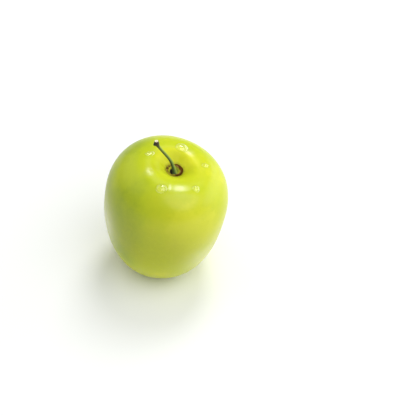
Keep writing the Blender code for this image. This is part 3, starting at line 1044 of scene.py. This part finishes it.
# Water drops: name, turn, distance from the core, half width, half length, spin, height, in degrees and mm
DROPS = (
    ("drop_front_left", -107.5, 13.5, 2.15, 1.95, 5, 0.95),
    ("drop_front_right", -53.5, 13.9, 1.5, 1.5, 20, 0.75),
    ("drop_back", 71.0, 9.2, 2.45, 2.0, 0, 1.0),
    ("drop_right", 7.1, 11.6, 1.15, 1.4, 70, 0.78),
    ("drop_left", 159.3, 9.3, 1.9, 1.1, 25, 0.30),
)
DROP_SIDES = 64
DROP_RINGS = 16
DROP_WANDER, DROP_BULGE = 0.07, 0.35
DROP_RIM_DIP, DROP_UNDERSIDE_DIP = 0.01 * MM, 0.06 * MM
CAST_FROM = 4 * MM
# Painted light that stands in for the light a drop gathers in the skin under it, and painted shade under its
# rim, in half widths
FOCUS, FOCUS_SPREAD = Vector((-0.18, -0.34)), 0.62
RIM_SPREAD, PAINTED_RIM_SHADE = 0.12, 0.9
GLOW_EDGE, GLOW_REACH = (1.25, 0.95), 2


def glow_under_drop(spot):
    """How much painted light brightens the skin at a spot under a drop, less the painted shade under its rim,
    in half widths and half lengths.
    """
    far_side = math.exp(-(((spot - FOCUS).length / FOCUS_SPREAD) ** 2))
    rim = math.exp(-(((spot.length - 1.0) / RIM_SPREAD) ** 2))
    return (far_side - PAINTED_RIM_SHADE * rim) * smooth_step(*GLOW_EDGE, spot.length)


def make_drops(material, skin, turned):
    """Clear domes of water lying on the skin, each with a slightly wandering edge."""
    tree = BVHTree.FromPolygons(
        [vertex.co.copy() for vertex in skin.data.vertices],
        [tuple(face.vertices) for face in skin.data.polygons],
    )
    back = turned.inverted()
    glow = [0.0] * len(skin.data.vertices)
    down = (turned.to_3x3() @ Vector((0, 0, -1))).normalized()
    for name, turn, out, wide, long, spin, tall in DROPS:
        turn = math.radians(turn)
        above = turned @ Vector((out * MM * math.cos(turn), out * MM * math.sin(turn), BODY_LENGTH))
        place, normal, _, _ = tree.ray_cast(above, down)
        across = Vector((1, 0, 0)) - normal * normal.x
        across.normalize()
        across.rotate(Matrix.Rotation(math.radians(spin), 3, normal))
        up = normal.cross(across)
        rings, lower = [], []
        for k in range(DROP_RINGS + 1):
            share = math.sin(math.pi / 2 * k / DROP_RINGS)
            upper_ring, lower_ring = [], []
            for i in range(DROP_SIDES if k else 1):
                a = math.tau * i / DROP_SIDES
                wander = 1 + DROP_WANDER * noise.noise(Vector((math.cos(a), math.sin(a), out)) * 1.4)
                flat = (across * math.cos(a) * wide + up * math.sin(a) * long) * (share * wander * MM)
                touch, skin_normal, _, _ = tree.ray_cast(place + flat + normal * CAST_FROM, -normal)
                dome = (1 - share**2) * (1 + DROP_BULGE * share**2)
                upper_ring.append(touch + skin_normal * (tall * dome * MM - DROP_RIM_DIP))
                lower_ring.append(touch - skin_normal * DROP_UNDERSIDE_DIP)
            rings.append(upper_ring)
            lower.append(lower_ring)
        mesh = ring_mesh(name, rings + lower[::-1])
        keep_values(mesh, "growth_place", [(back @ vertex.co) / MM for vertex in mesh.vertices])
        add_piece(name, mesh, material)
        # Painted light and painted shade in the skin under this drop
        for i, vertex in enumerate(skin.data.vertices):
            away = vertex.co - place
            if away.length < GLOW_REACH * max(wide, long) * MM:
                spot = Vector((away.dot(across) / (wide * MM), away.dot(up) / (long * MM)))
                glow[i] += glow_under_drop(spot)
    keep_values(skin.data, "painted_light_under_water", glow)


# Studio

CAMERA_DISTANCE = 0.7
CAMERA_RISE = math.radians(45.3)
PIXELS_PER_MM = 2.722
FRAME_PIXELS = 416
BODY_AT_PIXEL = (163.1, 211.5)
SENSOR = 36.0

# Lamps: name, azimuth and rise in degrees, distance, size across and up in metres, power
LAMPS_FACE = Vector((0, 0, 0.025))
LAMPS = (
    ("panel_back", 157, 58, 0.9, (0.36, 0.56), 3.2),
    ("panel_right", 112, 16, 0.9, (1.58, 0.56), 3.9),
    ("panel_front", 41, 53, 0.9, (1.1, 0.98), 4.9),
    ("panel_left", -115, 40, 1.0, (1.47, 1.0), 2.0),
)
ROOM_TINT, ROOM_LIGHT = (0.80, 0.84, 0.80, 1), 0.42
FLOOR_REACH = 3.0
FLOOR_TINTS = (0.90, 0.90, 0.90), (0.93, 0.93, 0.925)


def make_camera(turned):
    """The photograph's view: from 45 degrees above, with the fruit left of the middle."""
    right = Vector((1, 0, 0))
    up = Vector((0, math.sin(CAMERA_RISE), math.cos(CAMERA_RISE)))
    back = Vector((0, -math.cos(CAMERA_RISE), math.sin(CAMERA_RISE)))
    pixel = MM / PIXELS_PER_MM
    middle = FRAME_PIXELS / 2
    target = turned.translation + right * ((middle - BODY_AT_PIXEL[0]) * pixel)
    target += up * ((BODY_AT_PIXEL[1] - middle) * pixel)
    data = bpy.data.cameras.new("camera")
    data.sensor_width = SENSOR
    data.lens = SENSOR * CAMERA_DISTANCE / (FRAME_PIXELS * pixel)
    camera = bpy.data.objects.new("camera", data)
    facing = Matrix((right, up, back)).transposed().to_4x4()
    camera.matrix_world = Matrix.Translation(target + back * CAMERA_DISTANCE) @ facing
    bpy.context.scene.collection.objects.link(camera)
    bpy.context.scene.camera = camera


def make_light(name, azimuth, rise, distance, size, power):
    """A soft panel facing the fruit; azimuth 0 is the camera's side and 90 the right."""
    azimuth, rise = math.radians(azimuth), math.radians(rise)
    way = Vector((math.sin(azimuth) * math.cos(rise), -math.cos(azimuth) * math.cos(rise), math.sin(rise)))
    data = bpy.data.lights.new(name, "AREA")
    data.shape = "ELLIPSE"
    data.size, data.size_y = size
    data.energy = power
    light = bpy.data.objects.new(name, data)
    light.location = LAMPS_FACE + way * distance
    light.rotation_euler = way.to_track_quat("Z", "Y").to_euler()
    bpy.context.scene.collection.objects.link(light)


def make_floor():
    """The plain pale floor that the fruit stands on."""
    mesh = bpy.data.meshes.new("floor")
    corners = [(x * FLOOR_REACH, y * FLOOR_REACH, 0) for x, y in ((-1, -1), (1, -1), (1, 1), (-1, 1))]
    mesh.from_pydata(corners, [], [(0, 1, 2, 3)])
    material, nodes, shader = new_material("pale floor")
    place = nodes.add("ShaderNodeTexCoord").outputs["Object"]
    tone = nodes.noise(place, 3.0)
    nodes.feed(shader["Base Color"], nodes.mix(tone, *FLOOR_TINTS))
    shader["Roughness"].default_value = 0.7
    mesh.materials.append(material)
    floor = bpy.data.objects.new("floor", mesh)
    bpy.context.scene.collection.objects.link(floor)


def make_world():
    """The even light of the room."""
    world = bpy.data.worlds.new("studio")
    world.use_nodes = True
    background = world.node_tree.nodes["Background"]
    background.inputs["Color"].default_value = ROOM_TINT
    background.inputs["Strength"].default_value = ROOM_LIGHT
    bpy.context.scene.world = world


def main():
    """Makes every piece, and then the camera, the lamps, the floor and the room."""
    groups = (mottle_group(), dots_group(), fibre_group())
    skin, turned = make_skin(skin_material(*groups))
    make_cork_ring(cork_material(*groups), turned)
    make_plate(plate_material(*groups), turned)
    make_stem(stalk_material(*groups), turned)
    make_drops(water_material(groups[0]), skin, turned)
    make_camera(turned)
    for lamp in LAMPS:
        make_light(*lamp)
    make_floor()
    make_world()
    bpy.context.scene.view_settings.view_transform = "Standard"


main()
